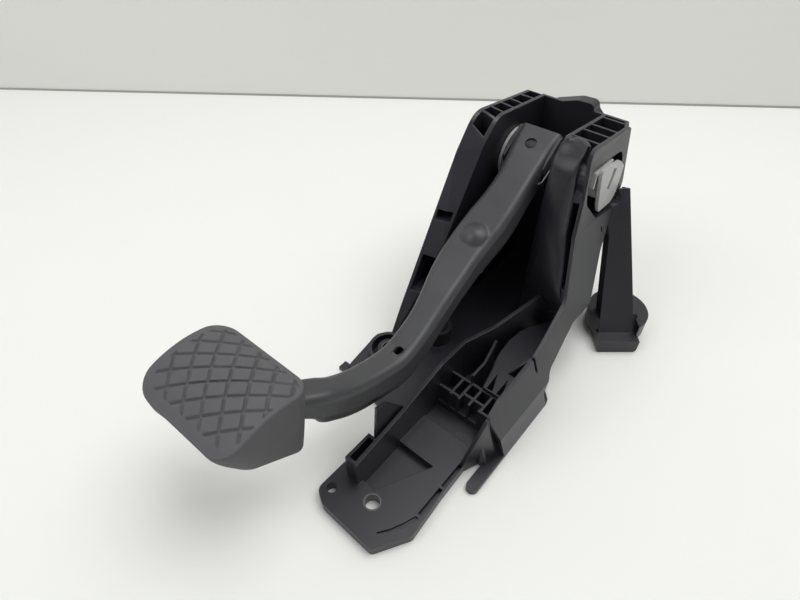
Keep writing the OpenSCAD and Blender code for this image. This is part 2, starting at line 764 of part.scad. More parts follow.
// Section of a pressing: a channel w wide whose flanges run from depth d0 down to d1
function channel(w, d0, d1, t, r) = let (q = max(r - t, 0.6)) concat(
    [[-w / 2, -d1]],
    [for (a = [180 : -22.5 : 90]) [-w / 2 + r + r * cos(a), -d0 - r + r * sin(a)]],
    [for (a = [90 : -22.5 : 0]) [w / 2 - r + r * cos(a), -d0 - r + r * sin(a)]],
    [[w / 2, -d1], [w / 2 - t, -d1]],
    [for (a = [0 : 22.5 : 90]) [w / 2 - t - q + q * cos(a), -d0 - t - q + q * sin(a)]],
    [for (a = [90 : 22.5 : 180]) [-w / 2 + t + q + q * cos(a), -d0 - t - q + q * sin(a)]],
    [[-w / 2 + t, -d1]]
);
// Skin over channel sections; each end is a strip of quads from the outer to the inner line
module loft(rings) {
    n = len(rings[0]);
    m = len(rings);
    sides = [
        for (i = [0 : m - 2], j = [0 : n - 1])
            let (a = i * n + j, b = i * n + (j + 1) % n, c = (i + 1) * n + j, d = (i + 1) * n + (j + 1) % n)
            each [[a, b, d], [a, d, c]]
    ];
    caps = [
        for (end = [0, m - 1], j = [0 : n / 2 - 2])
            let (a = end * n + j, b = a + 1, c = end * n + n - 2 - j, d = c + 1)
            each end == 0 ? [[a, c, b], [a, d, c]] : [[a, b, c], [a, c, d]]
    ];
    polyhedron(points = [for (ring = rings) each ring], faces = concat(sides, caps), convexity = 6);
}
function placed(i, section) = [
    for (p = section) arm[i][0] + arm_across(i) * p.x + arm_out(i) * p.y
];
flange_share = 0.62;
left_ear_x = arm[last][0].x - arm[last][1] / 2;
right_ear_x = arm[last][0].x + arm[last][1] / 2;
module arm_front_shell() {
    color([0.10, 0.10, 0.11]) in_place() difference() {
        union() {
            loft([for (i = [0 : last])
                placed(i, reversed(channel(arm[i][1], 0, arm[i][2] * flange_share, sheet, arm_round)))]);
            ear(left_ear_x, left_ear_x + sheet);
            ear(right_ear_x - sheet, right_ear_x);
            // Tail that rests on the rubber stop
            block([left_ear_x, py(14), pz(-8)], [right_ear_x, py(31), pz(-8) + sheet]);
            dome(dome_r, dome_h);
        }
        dome(dome_r - sheet, dome_h - sheet);
        on_pivot(-half, half, hub_r);
        translate([-1.7, py(-14.5), pz(20.1)]) rotate([-30, 0, 0]) cylinder(h = 20, r = 4, center = true);
        translate([9.6, 58.6, 72.7]) cylinder(h = 10, r = 3.1, center = true);
        translate([0, spring_hand.y, spring_hand.z]) rotate([0, 90, 0]) cylinder(h = half, r = spring_hole_r);
    }
}
module ear(x0, x1) {
    along_x(x0, x1) union() {
        translate([pivot_y, pivot_z]) circle(r = ear_r);
        polygon([[py(-24), pz(10)], [py(-4), pz(25)], [py(9), pz(18)], [py(14), pz(4)], [py(-12), pz(-12)]]);
        polygon([[py(6), pz(12)], [py(31), pz(-2)], [py(31), pz(-8)], [py(8), pz(-15)]]);
    }
}
// Cap of a sphere with base radius r and height h on the arm's face
dome_at = [2, 145, 103.2];
module dome(r, h) {
    ball = (r * r + h * h) / (2 * h);
    translate(dome_at) rotate([24, 0, 0]) intersection() {
        translate([0, 0, h - ball]) sphere(r = ball);
        translate([0, 0, -sheet]) cylinder(h = h + sheet + 1, r = r + 1);
    }
}
module arm_rear_shell() {
    color([0.10, 0.10, 0.11]) in_place() difference() {
        loft([for (i = [2 : last - 3]) [
            for (p = channel(arm[i][1] - 2 * sheet - 0.2, 0, arm[i][2] * flange_share, sheet, arm_round))
                arm[i][0] + arm_across(i) * p.x + arm_out(i) * (-arm[i][2] - p.y)
        ]]);
        translate([dome_at.x, dome_at.y, 50]) cylinder(h = 60, r = clip_r + 0.2);
    }
}
// Retainer that snaps into the arm's back behind the dome
clip_r = 8.8;
clip_z = 67;
socket_r = 6.5;
module pushrod_clip() {
    color([0.82, 0.82, 0.80]) in_place() translate([dome_at.x, dome_at.y, clip_z]) difference() {
        union() {
            cylinder(h = 25, r = clip_r);
            cylinder(h = 2, r = clip_r + 2.5);
        }
        translate([0, 0, below]) cylinder(h = 24, r = socket_r);
    }
}
module ball_socket() {
    color([0.05, 0.05, 0.05]) in_place() translate([dome_at.x, dome_at.y, clip_z + 7]) difference() {
        cylinder(h = 16, r = socket_r);
        translate([0, 0, 8]) sphere(r = 5.1);
        translate([0, 0, below]) cylinder(h = 9, r = 4.4);
    }
}

pad_at = [-pad_offset, -pad_ahead];
plate_inset = 6;
function pad_outline(inset) = rounded([
    for (c = [[-1, -1], [1, -1], [1, 1], [-1, 1]])
        [pad_at.x + c.x * (pad_w / 2 - inset), pad_at.y + c.y * (pad_l / 2 - inset), pad_round - inset / 2]
]);
// The face's crown is part of a round bar along X
module crown(drop) {
    translate([pad_at.x - pad_w / 2 - 1, pad_at.y + 2, pad_z - crown_r]) rotate([0, 90, 0])
        cylinder(h = pad_w + 2, r = crown_r - drop, $fn = 128);
}
module pad_plate() {
    color([0.10, 0.10, 0.11]) in_place() intersection() {
        along_z(pad_z - 30, pad_z) polygon(pad_outline(plate_inset));
        difference() {
            crown(pad_t);
            crown(pad_t + plate_t);
        }
    }
}
module pedal_pad() {
    color([0.13, 0.13, 0.14]) in_place() difference() {
        intersection() {
            pad_body(0);
            crown(0);
        }
        difference() {
            intersection() {
                pad_body(pad_t);
                crown(pad_t);
            }
            pad_rim();
        }
        grooves();
        arm_mouth();
    }
}
// Ledge of rubber that hooks under the plate's edge
module pad_rim() {
    difference() {
        intersection() {
            along_z(pad_z - 40, pad_z) difference() {
                polygon(pad_outline(0));
                polygon(pad_outline(plate_inset + 2.5));
            }
            crown(pad_t);
        }
        intersection() {
            along_z(pad_z - 40, pad_z) polygon(pad_outline(plate_inset));
            crown(0);
            difference() {
                crown(pad_t);
                crown(pad_t + plate_t);
            }
        }
        crown(pad_t + plate_t + 2.5);
    }
}
// Body of the pad: its outline at the face, tapered to the skirt's lower corners
module pad_body(inset) {
    skirt = [[-27, -23, 21], [24, -14, 34], [24, 2, 50], [24, 9, 54], [-25, 18, 32]];
    hull() {
        along_z(pad_z - 14, pad_z + 2) polygon(pad_outline(inset));
        for (s = skirt)
            translate([pad_at.x + s.x - sign(s.x) * inset, pad_at.y + s.y - sign(s.y) * inset,
                       pad_z - s[2] - (inset > 0 ? 4 : 0)])
                cylinder(h = 4, r = 6, $fn = 24);
    }
}
// Grooves along both diagonals of the face
module grooves() {
    slant = atan2(pad_l, pad_w);
    reach = pad_w;
    intersection() {
        along_z(pad_z - 20, pad_z + 1) polygon(pad_outline(groove_border));
        difference() {
            crown(-1);
            crown(groove_depth);
        }
        union() {
            for (turn = [slant, -slant], k = [-3.5 : 3.5])
                translate([pad_at.x, pad_at.y, 0]) rotate([0, 0, turn])
                    translate([-reach, k * groove_pitch - groove_w / 2, pad_z - 20])
                        cube([2 * reach, groove_w, 21]);
        }
    }
}
// Way for the arm through the pad's back
module arm_mouth() {
    play = 0.3;
    stacked([for (i = [1 : 4]) let (w = arm[i][1] / 2 + play, d = arm[i][2] + play)
        placed(i, [[-w, play], [w, play], [w, -d], [-w, -d]])]);
}

// Torsion spring beside the right ear: its path runs from the arm round the hub to the bracket's wall
coil_r = hub_r + spring_wire / 2 + 0.2;
coil_x = right_ear_x + 0.3 + spring_wire / 2;
coil_pitch = spring_wire + 0.1;
coil_start = 120;
coil_end = coil_start - 360 * spring_turns;
function coil_point(a) =
    [coil_x + coil_pitch * (coil_start - a) / 360, py(coil_r * cos(a)), pz(coil_r * sin(a))];
spring_hand = coil_point(coil_start) - 22 * [0, sin(coil_start), -cos(coil_start)];
spring_foot = coil_point(coil_end) + 30 * [0, sin(coil_end), -cos(coil_end)];
// Points that round corner b between a and c
function bend(a, b, c, r = 3) = let (p = b + unit(a - b) * r, q = b + unit(c - b) * r)
    [for (t = [0 : 0.25 : 1]) (1 - t) * (1 - t) * p + 2 * t * (1 - t) * b + t * t * q];
hand_tip = [right_ear_x - sheet - 1, spring_hand.y, spring_hand.z];
foot_tip = [half + wall, spring_foot.y, spring_foot.z];
spring_path = concat(
    [hand_tip],
    bend(hand_tip, spring_hand, coil_point(coil_start)),
    [for (a = [coil_start : -15 : coil_end]) coil_point(a)],
    bend(coil_point(coil_end), spring_foot, foot_tip),
    [foot_tip]
);
function path_along(p, i) = unit(p[min(i + 1, len(p) - 1)] - p[max(i - 1, 0)]);
// Carries a direction square to the path from point to point
function carried(p, n, i = 0) = i == len(p) ? [] :
    let (t = path_along(p, i), m = unit(n - (n * t) * t)) concat([m], carried(p, m, i + 1));
module wire(p, r, sides = 8) {
    across = carried(p, [0, 1, 0.3]);
    stacked([for (i = [0 : len(p) - 1]) [for (k = [0 : sides - 1]) let (a = -360 * k / sides)
        p[i] + r * (cos(a) * across[i] + sin(a) * cross(path_along(p, i), across[i]))]]);
}
module return_spring() {
    color([0.45, 0.45, 0.46]) in_place() wire(spring_path, spring_wire / 2);
}

bearing_bracket();
pivot_pin();
pin_washer();
bearing_lock();
tongue_sleeve();
left_foot_sleeve();
right_foot_sleeve();
stop_buffer();
arm_front_shell();
arm_rear_shell();
hub_tube();
bush_left();
bush_right();
inner_sleeve();
pushrod_clip();
ball_socket();
pad_plate();
pedal_pad();
return_spring();
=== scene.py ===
# %% [markdown]
# # A hanging brake pedal in its black bearing bracket
#
# The object is a brake pedal as it comes off a car: a pressed-steel arm with a grooved
# rubber pad, swinging between the cheeks of a ribbed bracket of black glass-filled nylon.
# The CAD model gives every size. This lesson dresses it: the bracket keeps its solids and
# gets a finish, and the pieces with flowing surfaces are worked out again with numpy.

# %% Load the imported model
import json
import math
import bpy
import numpy as np
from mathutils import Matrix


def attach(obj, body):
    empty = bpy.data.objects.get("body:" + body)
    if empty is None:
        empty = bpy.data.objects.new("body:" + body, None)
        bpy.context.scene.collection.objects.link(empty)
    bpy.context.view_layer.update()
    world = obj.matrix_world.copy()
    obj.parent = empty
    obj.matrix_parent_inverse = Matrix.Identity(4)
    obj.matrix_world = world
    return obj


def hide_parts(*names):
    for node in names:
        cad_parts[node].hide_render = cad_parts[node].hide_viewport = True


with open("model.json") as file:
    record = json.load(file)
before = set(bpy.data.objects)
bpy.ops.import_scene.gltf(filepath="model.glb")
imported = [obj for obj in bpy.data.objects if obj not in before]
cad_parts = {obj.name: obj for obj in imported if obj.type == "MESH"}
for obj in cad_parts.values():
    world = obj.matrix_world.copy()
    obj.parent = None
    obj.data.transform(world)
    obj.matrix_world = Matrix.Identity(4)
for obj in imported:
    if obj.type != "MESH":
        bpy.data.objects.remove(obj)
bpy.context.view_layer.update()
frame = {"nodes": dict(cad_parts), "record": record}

# %% [markdown]
# ## Where sizes come from
#
# The bracket's drawing puts X = 0 in the middle between the cheeks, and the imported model
# moves that to the stud bore in the tongue. All sizes below are in millimetres from the
# drawing, and one helper turns them into Blender's metres.

# %% From the drawing's millimetres to metres
MM = 0.001
STUD_X = 39.0
BOX_HALF = 22.6
WALL = 2.5
SHEET = 2.0
HUB_R = 12.0
PIVOT = np.array([0.0, 225.0, 119.5])


def to_metres(points):
    """Drawing point in mm, minus the stud's place along X, times 0.001."""
    return (np.asarray(points, float) - [STUD_X, 0, 0]) * MM


def smooth(t):
    """Three t squared minus two t cubed, for t held between 0 and 1."""
    t = np.clip(t, 0, 1)
    return t * t * (3 - 2 * t)


def unit(vectors):
    """Each vector divided by its own length."""
    return vectors / np.linalg.norm(vectors, axis=-1, keepdims=True)


def circle(sides):
    """Angles all the way round, the last one step short of the first."""
    return np.linspace(0, 2 * math.pi, sides, endpoint=False)


print("pivot in metres:", to_metres(PIVOT).round(4))


# %% [markdown]
# ## Grids into meshes
#
# Every new piece is a grid of points worked out as one array. A grid that closes on itself
# in one direction is a tube, and one that closes in both is a ring. Blender could add these
# points one by one, but here a few helpers number the quads of a whole grid at once, so
# there is no loop over points. Each way of closing a grid into a body has its own helper.

# %% Quads of a grid, and three ways to close it
def grid_faces(rows, columns, close_rows=False, close_columns=False):
    """Quads between neighbours of a grid whose points are numbered row by row."""
    r = np.arange(rows if close_rows else rows - 1)
    c = np.arange(columns if close_columns else columns - 1)
    r, c = np.meshgrid(r, c, indexing="ij")
    r2, c2 = (r + 1) % rows, (c + 1) % columns
    quads = np.stack([r * columns + c, r * columns + c2, r2 * columns + c2, r2 * columns + c], -1)
    return quads.reshape(-1, 4)


def ring_body(grid):
    """A grid that closes on itself in both directions."""
    m, n = grid.shape[:2]
    return grid.reshape(-1, 3), grid_faces(m, n, close_rows=True, close_columns=True).tolist()


def stack_body(loops):
    """Quads between closed loops, and a fan from a middle point over the first and the last."""
    m, n = loops.shape[:2]
    points = np.concatenate([loops.reshape(-1, 3), loops[[0, -1]].mean(axis=1)])
    quads = grid_faces(m, n, close_columns=True)
    j = np.arange(n)
    k = (j + 1) % n
    first = np.stack([np.full(n, m * n), j, k], -1)
    final = np.stack([np.full(n, m * n + 1), (m - 1) * n + k, (m - 1) * n + j], -1)
    return points, quads[:, ::-1].tolist() + first.tolist() + final.tolist()


def sheet_body(near, far, keep=None, turned_over=False):
    """Two grids of one size become the two sides of a sheet. Walls stand on every edge that
    only one quad of the near side has: round the rim, and round the quads that keep drops."""
    m, n = near.shape[:2]
    count = m * n
    side = grid_faces(m, n)
    if keep is not None:
        side = side[keep.ravel()]
    edges = np.concatenate([side[:, [k, (k + 1) % 4]] for k in range(4)])
    rim = edges[~np.isin(edges @ [count, 1], edges @ [1, count])]
    walls = np.stack([rim[:, 1], rim[:, 0], rim[:, 0] + count, rim[:, 1] + count], -1)
    faces = np.concatenate([side, side[:, ::-1] + count, walls])
    points = np.concatenate([near.reshape(-1, 3), far.reshape(-1, 3)])
    return points, (faces[:, ::-1] if turned_over else faces).tolist()


# %% One object from points and faces
def piece(name, surface, body, slot, replaces=(), crease=None):
    """Points in drawing mm and faces become one smooth-shaded object that rides on a body and
    has its slot's finish. Edges that turn by more than crease degrees are shaded sharp."""
    points, faces = surface
    mesh = bpy.data.meshes.new(name)
    mesh.from_pydata(to_metres(points), [], faces)
    mesh.validate()
    mesh.update()
    mesh.polygons.foreach_set("use_smooth", np.ones(len(mesh.polygons), bool))
    mesh.materials.append(BY_SLOT[slot])
    thing = bpy.data.objects.new(name, mesh)
    bpy.context.scene.collection.objects.link(thing)
    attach(thing, body)
    if replaces:
        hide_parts(*replaces)
    if crease:
        bpy.context.view_layer.objects.active = thing
        thing.select_set(True)
        bpy.ops.object.shade_smooth_by_angle(angle=math.radians(crease), keep_sharp_edges=False)
        thing.select_set(False)
    print(f"{name}: {len(mesh.vertices)} points, {len(mesh.polygons)} faces")


# %% [markdown]
# ## Shader sums written as plain Python
#
# A material is a small calculation over the surface. It could be wired by hand in the node
# editor, but a sum is easier to read as text. The class below wraps one socket of a node
# and overloads plus, minus and times, so that `1 - edge * 0.4` adds the Math nodes by
# itself. Everything else comes from one method, `node`.

# %% The field class
class Field:
    """A number that changes over the surface, held as one output socket."""

    def __init__(self, finish, socket):
        self.finish, self.socket = finish, socket

    def _math(self, operation, *values):
        return self.finish.node("ShaderNodeMath", {"operation": operation}, values)

    def __add__(self, other):
        return self._math("ADD", self, other)

    def __radd__(self, other):
        return self._math("ADD", other, self)

    def __sub__(self, other):
        return self._math("SUBTRACT", self, other)

    def __rsub__(self, other):
        return self._math("SUBTRACT", other, self)

    def __mul__(self, other):
        return self._math("MULTIPLY", self, other)

    def __rmul__(self, other):
        return self._math("MULTIPLY", other, self)

    def clamp(self, low=0.0, high=1.0):
        return self.finish.node("ShaderNodeClamp", {}, (self, low, high))


# %% The finish class
EDGE_HIGHLIGHT_GAIN = 6.0


class Finish:
    """One material: a Principled shader whose constant sockets are set directly."""

    def __init__(self, name, **sockets):
        self.material = bpy.data.materials.new(name)
        self.material.use_nodes = True
        self.tree = self.material.node_tree
        self.shader = self.tree.nodes["Principled BSDF"]
        for key, value in sockets.items():
            self.shader.inputs[key.replace("_", " ")].default_value = value
        self.place = self.node("ShaderNodeTexCoord", {}, (), "Object")

    def put(self, target, value):
        """Links a field to a socket, or writes a plain value into it."""
        if isinstance(value, Field):
            self.tree.links.new(value.socket, target)
        elif value is not None:
            target.default_value = value

    def node(self, kind, settings, values, output=0):
        """Adds a node, sets its settings, then fills its sockets by position or by name."""
        made = self.tree.nodes.new(kind)
        for key, value in settings.items():
            setattr(made, key, value)
        pairs = values.items() if isinstance(values, dict) else enumerate(values)
        for key, value in pairs:
            self.put(made.inputs[key], value)
        return Field(self, made.outputs[output])

    def noise(self, per_metre, detail=3.0, roughness=0.55):
        """Soft random field from 0 to 1 with this many blobs to the metre."""
        return self.node("ShaderNodeTexNoise", {}, {
            "Vector": self.place, "Scale": per_metre, "Detail": detail, "Roughness": roughness}, "Fac")

    def mix(self, share, low, high):
        """Colour low where share is 0 and high where it is 1."""
        return self.node("ShaderNodeMix", {"data_type": "RGBA"}, {0: share, 6: low, 7: high}, 2)

    def rounded_edges(self, radius):
        """Normal of a surface whose edges were rounded to this radius in metres."""
        return self.node("ShaderNodeBevel", {"samples": 4}, {"Radius": radius}, "Normal")

    def edge_highlight_share(self, rounded):
        """Mask of the painted highlight along edges: 0 on flat ground and 1 on an edge, one minus the dot
        of rounded and true normal.
        """
        true = self.node("ShaderNodeNewGeometry", {}, (), "Normal")
        dot = self.node("ShaderNodeVectorMath", {"operation": "DOT_PRODUCT"}, (rounded, true), "Value")
        return ((1 - dot) * EDGE_HIGHLIGHT_GAIN).clamp()

    def bump(self, height, strength, distance, normal=None):
        """Normal tilted by the slope of a height field, over the normal that is given."""
        return self.node("ShaderNodeBump", {}, {
            "Strength": strength, "Distance": distance, "Height": height, "Normal": normal}, "Normal")

    def set(self, **fields):
        for key, value in fields.items():
            self.put(self.shader.inputs[key.replace("_", " ")], value)
        return self.material


def grey(value, tint=(1.0, 1.0, 1.0)):
    """A grey of this lightness, each channel times its tint."""
    return (value * tint[0], value * tint[1], value * tint[2], 1.0)


# %% [markdown]
# ## Finishes
#
# The bracket is glass-filled nylon from a polished tool: almost black, with a satin sheen,
# cloudy flow marks and a fine grain, and along every edge a line of light is painted into its
# colour as a painted highlight. The arm has a thin cathodic paint, a little lighter and smoother,
# with the same painted highlight on its edges. The pad is dull rubber, greyed by dust.
# Photographs of such surfaces could be wrapped round the pieces, but noise in Object
# coordinates needs no unwrapping, has no seams, and runs on from one face to the next.

# %% Black nylon of the bracket
def nylon():
    f = Finish("black_nylon", Specular_IOR_Level=0.5)
    rounded = f.rounded_edges(0.7 * MM)
    edge = f.edge_highlight_share(rounded)
    clouds = f.noise(per_metre=38.0, detail=4.0)
    grain = f.noise(per_metre=2600.0, detail=2.0)
    body = f.mix(clouds, grey(0.014, (0.92, 0.92, 1.30)), grey(0.024, (0.93, 0.93, 1.26)))
    # Painted highlight: along every edge the colour turns to a lighter grey.
    colour = f.mix(edge * 0.5, body, grey(0.10, (0.97, 0.97, 1.1)))
    normal = f.bump(grain, strength=0.22, distance=0.2 * MM, normal=rounded)
    return f.set(Base_Color=colour, Roughness=0.30 + clouds * 0.14, Normal=normal)


# %% Paint of the pressed arm
def arm_paint():
    f = Finish("arm_paint", Specular_IOR_Level=0.5)
    rounded = f.rounded_edges(0.6 * MM)
    edge = f.edge_highlight_share(rounded)
    clouds = f.noise(per_metre=55.0, detail=4.0)
    peel = f.noise(per_metre=900.0, detail=2.0)
    body = f.mix(clouds, grey(0.040, (0.97, 0.98, 1.08)), grey(0.056, (0.97, 0.98, 1.06)))
    # Painted highlight: along every edge the colour turns to a lighter grey.
    colour = f.mix(edge * 0.4, body, grey(0.15))
    normal = f.bump(peel, strength=0.12, distance=0.2 * MM, normal=rounded)
    return f.set(Base_Color=colour, Roughness=0.36 + clouds * 0.12, Normal=normal)


# %% Rubber of the pad and of the buffer
def rubber(name, dark, light):
    f = Finish(name, Specular_IOR_Level=0.35)
    dust = f.noise(per_metre=70.0, detail=5.0)
    grain = f.noise(per_metre=3200.0, detail=2.0)
    colour = f.mix(dust, grey(dark, (0.99, 0.99, 1.05)), grey(light, (0.99, 0.99, 1.04)))
    normal = f.bump(grain, strength=0.3, distance=0.15 * MM)
    return f.set(Base_Color=colour, Roughness=0.62 + dust * 0.14, Normal=normal)


# %% White plastic, plated steel and spring wire
def white_plastic():
    f = Finish("white_plastic", Specular_IOR_Level=0.5)
    rounded = f.rounded_edges(0.4 * MM)
    clouds = f.noise(per_metre=90.0, detail=3.0)
    colour = f.mix(clouds, grey(0.42, (0.99, 1.0, 0.98)), grey(0.54, (0.99, 1.0, 0.98)))
    normal = f.bump(clouds, strength=0.05, distance=0.2 * MM, normal=rounded)
    return f.set(Base_Color=colour, Roughness=0.38 + clouds * 0.1, Normal=normal)


def plated_steel(name, dark, light, rough):
    f = Finish(name, Metallic=1.0)
    rounded = f.rounded_edges(0.3 * MM)
    clouds = f.noise(per_metre=160.0, detail=4.0)
    lines = f.noise(per_metre=1500.0, detail=2.0)
    colour = f.mix(clouds, grey(dark), grey(light))
    normal = f.bump(lines, strength=0.1, distance=0.1 * MM, normal=rounded)
    return f.set(Base_Color=colour, Roughness=rough + lines * 0.12, Normal=normal)


# %% Finishes by slot, put on every solid of the CAD model
BY_SLOT = {
    "bracket_nylon": nylon(),
    "arm_paint": arm_paint(),
    "pad_rubber": rubber("pad_rubber", 0.085, 0.118),
    "buffer_rubber": rubber("buffer_rubber", 0.022, 0.034),
    "white_plastic": white_plastic(),
    "zinc_steel": plated_steel("zinc_steel", 0.11, 0.17, 0.38),
    "spring_steel": plated_steel("spring_steel", 0.20, 0.28, 0.30),
}
for part in frame["record"]["subparts"]:
    node = frame["nodes"][part["node"]]
    while len(node.material_slots) == 0:
        node.data.materials.append(None)
    for place in node.material_slots:
        place.material = BY_SLOT[part["material_slot"]]
print("finishes:", sorted(BY_SLOT))


# %% [markdown]
# ## The rubber pad
#
# On the real pedal the pad is one moulding of rubber that is pulled over a steel plate. Its
# face is crowned, with two families of grooves that cross almost square, and its skirt grows
# deeper towards the arm. It could be a box with bevels and a bump texture, but the grooves are
# deep enough to break the light, so they are real shape here. The whole skin is a stack of
# closed loops: they widen from the middle of the face, turn over the edge, run down the skirt,
# round its lip and come back inside to the plate.

# %% Loops with rounded corners
def flat_length(vectors):
    """Length of each vector seen from above."""
    return np.linalg.norm(vectors[:, :2], axis=1, keepdims=True)


def loop(corners, radius, per_side=56, per_corner=30):
    """Closed loop through rounded corners, the same number of points for each side and corner.
    A corner is the weighted quadratic curve (p, w times b, q), whose w of one over root two
    makes a true quarter circle where the corner is square."""
    b = np.asarray(corners, float)
    a, c = np.roll(b, 1, axis=0), np.roll(b, -1, axis=0)
    p = b + (a - b) / flat_length(a - b) * radius
    q = b + (c - b) / flat_length(c - b) * radius
    t = np.linspace(0, 1, per_corner, endpoint=False)[None, :, None]
    w = math.sqrt(0.5)
    weight = (1 - t) ** 2 + 2 * w * t * (1 - t) + t ** 2
    arc = ((1 - t) ** 2 * p[:, None] + 2 * w * t * (1 - t) * b[:, None] + t ** 2 * q[:, None]) / weight
    s = np.linspace(0, 1, per_side, endpoint=False)[None, :, None]
    side = (1 - s) * q[:, None] + s * np.roll(p, -1, axis=0)[:, None]
    return np.concatenate([arc, side], axis=1).reshape(-1, b.shape[1])


def inward(points):
    """Unit vectors that point into a loop drawn anticlockwise: the tangent turned left."""
    tangent = unit(np.roll(points, -1, axis=0) - np.roll(points, 1, axis=0))
    return np.stack([-tangent[:, 1], tangent[:, 0]], -1)


# %% Outline and crown of the face
PAD_SIZE = np.array([74.0, 58.0])
PAD_AT = np.array([-29.0, -33.0])
PAD_Z, CROWN_R, CROWN_Y = 105.0, 55.0, -31.0
PAD_EDGE = loop(PAD_AT + np.array([[-1, -1], [1, -1], [1, 1], [-1, 1]]) * PAD_SIZE / 2, 13)
PAD_IN = inward(PAD_EDGE)


def crown(y):
    """Height of the face: a round bar along X whose top is over CROWN_Y."""
    return PAD_Z - CROWN_R + np.sqrt(CROWN_R ** 2 - (y - CROWN_Y) ** 2)


print("points round the pad:", len(PAD_EDGE), "crown at the front edge:", crown(-62.0).round(2))

# %% The grooves as a depth over the face
GROOVES, GROOVE_W, GROOVE_SOFT, GROOVE_DEPTH = 8, 1.5, 0.5, 1.4
FIELD_AT = PAD_AT + 1.2
FIELD_HALF = PAD_SIZE / 2 - [3.3, 3.7]
FIELD_R, FIELD_FADE = 10.0, 1.0


def groove_family(xy, degrees, first, pitch):
    """Depth from 0 to 1 of parallel grooves: the distance to the nearest line, through a
    smooth step."""
    turn = math.radians(degrees)
    across = (xy - PAD_AT) @ np.array([-math.sin(turn), math.cos(turn)])
    nearest = np.clip(np.round((across - first) / pitch), 0, GROOVES - 1)
    gap = np.abs(across - first - nearest * pitch)
    return 1 - smooth((gap - GROOVE_W / 2 + GROOVE_SOFT / 2) / GROOVE_SOFT)


def grooves(xy):
    """The deeper of both families, faded out over the plain border: a box with round corners,
    whose distance is the length of the part of |p| - half + r above zero, minus r."""
    beyond = np.abs(xy - FIELD_AT) - (FIELD_HALF - FIELD_R)
    border = np.linalg.norm(np.maximum(beyond, 0), axis=1) + np.minimum(beyond.max(axis=1), 0) - FIELD_R
    both = np.maximum(groove_family(xy, 41, -28.5, 8.97), groove_family(xy, -50, -38, 10.7))
    return GROOVE_DEPTH * both * smooth(-border / FIELD_FADE)


# %% Skin of the pad
EDGE_R, LIP_R = 1.2, 1.5
LEDGE_DROP, PLATE_FOOT, PLATE_TOP, PLATE_IN = 11.2, 8.06, 4.96, 5.94
RIM = loop([[-62, -62, 84], [1, -53, 71], [7, -13, 51], [-60, -9, 73]], 9)
RIM_IN = inward(RIM[:, :2])
POLE = 0.004


def face_loop(inset, drop, share=1.0):
    """Loop at a distance inside the face's edge, drawn in to a share of its size, and at a
    drop below the crown."""
    xy = PAD_AT + (PAD_EDGE + PAD_IN * inset - PAD_AT) * share
    return np.c_[xy, crown(xy[:, 1]) - drop]


def pad_loops():
    """Face loops, edge round, skirt, lip, inner skirt, and the pocket that holds the plate."""
    loops = []
    for share in np.linspace(POLE, 1, 96):
        face = face_loop(EDGE_R, 0, share)
        loops.append(face - np.c_[np.zeros((len(face), 2)), grooves(face[:, :2])])
    shoulder = face_loop(EDGE_R, 0)[:, 2]
    for turn in np.radians(np.linspace(9, 90, 10)):
        loops.append(np.c_[PAD_EDGE + PAD_IN * EDGE_R * (1 - math.sin(turn)),
                           shoulder - EDGE_R * (1 - math.cos(turn))])
    top, low = loops[-1], RIM + [0, 0, LIP_R]
    for share in np.linspace(0, 1, 22)[1:]:
        loops.append(top + (low - top) * [share ** 1.35, share ** 1.35, share])
    for turn in np.radians(np.linspace(30, 180, 6)):
        loops.append(np.c_[low[:, :2] + RIM_IN * LIP_R * (1 - math.cos(turn)),
                           low[:, 2] - LIP_R * math.sin(turn)])
    lip, ledge = loops[-1], face_loop(5, LEDGE_DROP)
    for share in np.linspace(0, 1, 12)[1:]:
        loops.append(lip + (ledge - lip) * [share ** 0.7, share ** 0.7, share])
    for inset, drop in ((8, LEDGE_DROP), (8.6, LEDGE_DROP - 0.6), (8.6, PLATE_FOOT), (6, PLATE_FOOT),
                        (PLATE_IN, PLATE_FOOT - 0.06), (PLATE_IN, PLATE_TOP)):
        loops.append(face_loop(inset, drop))
    for share in np.linspace(1, POLE, 14)[1:]:
        loops.append(face_loop(PLATE_IN, PLATE_TOP, share))
    return np.array(loops)


piece("pad_skin", stack_body(pad_loops()), "pedal", "pad_rubber", ["pedal_pad"])

# %% [markdown]
# ## The pressed arm
#
# The real arm is two steel pressings welded into a hollow bar: a front channel with rounded
# corners, and a narrower rear channel pushed into it. It could be boxes joined and bevelled,
# but the bar bends, swells and tilts along its whole length, so it is a loft here. Stations
# taken from the drawing give the middle of the front face, the width and the depth, and one
# smooth curve runs through them all. The same function gives the outer and the inner skin,
# and holes are made by pulling the grid's lines into circles, so their edges stay clean.

# %% Stations: x, y and height of the front face's middle, then width and depth
SIDE_GAP, FLANGE_T = 0.35, 2.2
HUB_HALF = BOX_HALF - SIDE_GAP - FLANGE_T
EAR_SPAN = 2 * HUB_HALF - 8.5
STATIONS = np.array([
    [-24, -38, PAD_Z - 9.5, 18, 9.5],
    [-14, -22, PAD_Z - 10, 18, 12],
    [-4, -8, PAD_Z - 14, 18, 19],
    [3, 5, 87.5, 18, 23],
    [5, 15, 82, 18, 25],
    [6.5, 28, 77.2, 18, 27],
    [8, 43, 73.8, 18.5, 27],
    [9.2, 58, 72.7, 19.5, 27],
    [8.8, 72, 76, 19.5, 27],
    [7.3, 88, 81.2, 19.5, 27],
    [5.2, 102, 86.8, 22, 27],
    [2.4, 118, 92.6, 25.5, 27],
    [0.8, 133, 98.5, 27, 27],
    [0.4, 145, 103.2, 28.5, 27],
    [1, 158, 110, 29, 27],
    [1.8, 172, 117.8, 27, 27],
    [1.8, 186, 125.8, 26, 27],
    [0.6, 200, 133.6, 27.5, 31],
    [-0.8, 212, 140.3, EAR_SPAN - 2, 37],
    [-1.2, 222, 145.9, EAR_SPAN, 41]])


